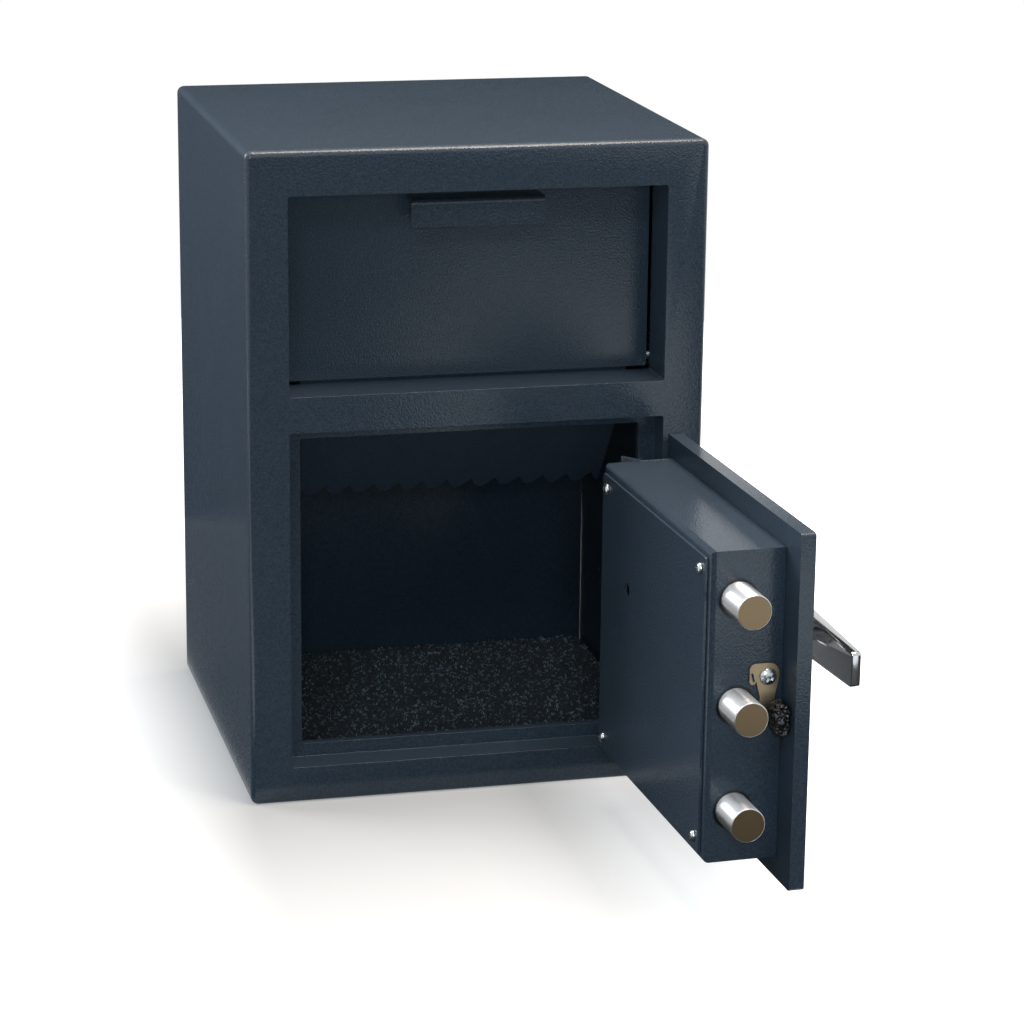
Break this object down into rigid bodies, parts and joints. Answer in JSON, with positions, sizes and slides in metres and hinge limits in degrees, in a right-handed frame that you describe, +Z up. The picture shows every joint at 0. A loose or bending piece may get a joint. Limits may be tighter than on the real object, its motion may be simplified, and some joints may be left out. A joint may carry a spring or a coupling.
{
  "type": "drop safe",
  "caption": "Steel drop safe with a tilting deposit hopper above a hinged door with sliding bolts, a lever handle and a dial lock.",
  "frame": {"origin": "centre of the cabinet's base", "axes": "+Z up, the front face looks along -Y, the door is hinged at the +X side"},
  "size_m": [0.3871, 0.6783, 0.508],
  "materials": {
    "blue_paint": "fine-textured blue-grey powder coat",
    "chrome": "polished chrome plate",
    "bright_steel": "turned steel, bare",
    "zinc_plate": "bright zinc plate",
    "yellow_zinc": "yellow passivated zinc plate",
    "cast_lock_case": "die-cast, satin",
    "black_dial": "black enamel, glossy",
    "black_rubber": "matt",
    "floor_carpet": "dark speckled needle-felt carpet"
  },
  "bodies": {
    "cabinet": {"cabinet_wrap": "blue_paint", "back_panel": "blue_paint", "front_frame": "blue_paint", "roof_baffle": "blue_paint", "carpet_mat": "floor_carpet", "hinge_lug_lower": "blue_paint", "hinge_lug_upper": "blue_paint", "hinge_pin_lower": "bright_steel", "hinge_pin_upper": "bright_steel", "hopper_bracket_left": "zinc_plate", "hopper_bracket_right": "zinc_plate"},
    "door": {"hinge_strap_lower": "blue_paint", "hinge_strap_upper": "blue_paint", "door_slab": "blue_paint", "bolt_housing": "blue_paint", "housing_cover": "blue_paint", "cover_screw_1": "zinc_plate", "cover_screw_2": "zinc_plate", "cover_screw_3": "zinc_plate", "cover_screw_4": "zinc_plate", "fixed_locking_bar": "blue_paint", "bolt_guide": "zinc_plate", "lock_case": "cast_lock_case", "dial_ring": "black_dial", "handle_rose": "chrome", "catch_plate": "yellow_zinc", "catch_screw": "zinc_plate", "catch_stopper": "black_rubber"},
    "bolts": {"bolt_lower": "chrome", "bolt_middle": "chrome", "bolt_upper": "chrome", "bolt_carrier": "zinc_plate"},
    "handle": {"lever_handle": "chrome", "handle_spindle": "bright_steel", "bolt_cam": "zinc_plate"},
    "dial": {"dial_knob": "black_dial", "dial_spindle": "bright_steel"},
    "hopper": {"hopper_front": "blue_paint", "hopper_pull": "blue_paint", "hopper_tray": "blue_paint", "hopper_pin_left": "zinc_plate", "hopper_pin_right": "zinc_plate", "hopper_cheek_left": "blue_paint", "hopper_cheek_right": "blue_paint"}
  },
  "joints": [
    {"name": "door_swing", "type": "hinge", "parent": "cabinet", "child": "door", "pos_m": [0.166, -0.18995, 0], "axis": [0, 0, 1], "range_deg": [-92, 88]},
    {"name": "bolt_throw", "type": "slide", "parent": "door", "child": "bolts", "axis": [0.0349, -0.9994, 0], "range_m": [-0.024, 0]},
    {"name": "handle_turn", "type": "hinge", "parent": "door", "child": "handle", "pos_m": [0.15287, -0.344, 0.1767], "axis": [0.9994, 0.0349, 0], "range_deg": [0, 90]},
    {"name": "dial_spin", "type": "hinge", "parent": "door", "child": "dial", "pos_m": [0.15071, -0.28204, 0.1767], "axis": [0.9994, 0.0349, 0], "continuous": true},
    {"name": "hopper_tilt", "type": "hinge", "parent": "cabinet", "child": "hopper", "pos_m": [0, -0.11545, 0.3303], "axis": [1, 0, 0], "range_deg": [0, 48]}
  ],
  "couplings": [
    {"joint": "handle_turn", "follows": "bolt_throw", "rad_per_m": -65.449}
  ]
}
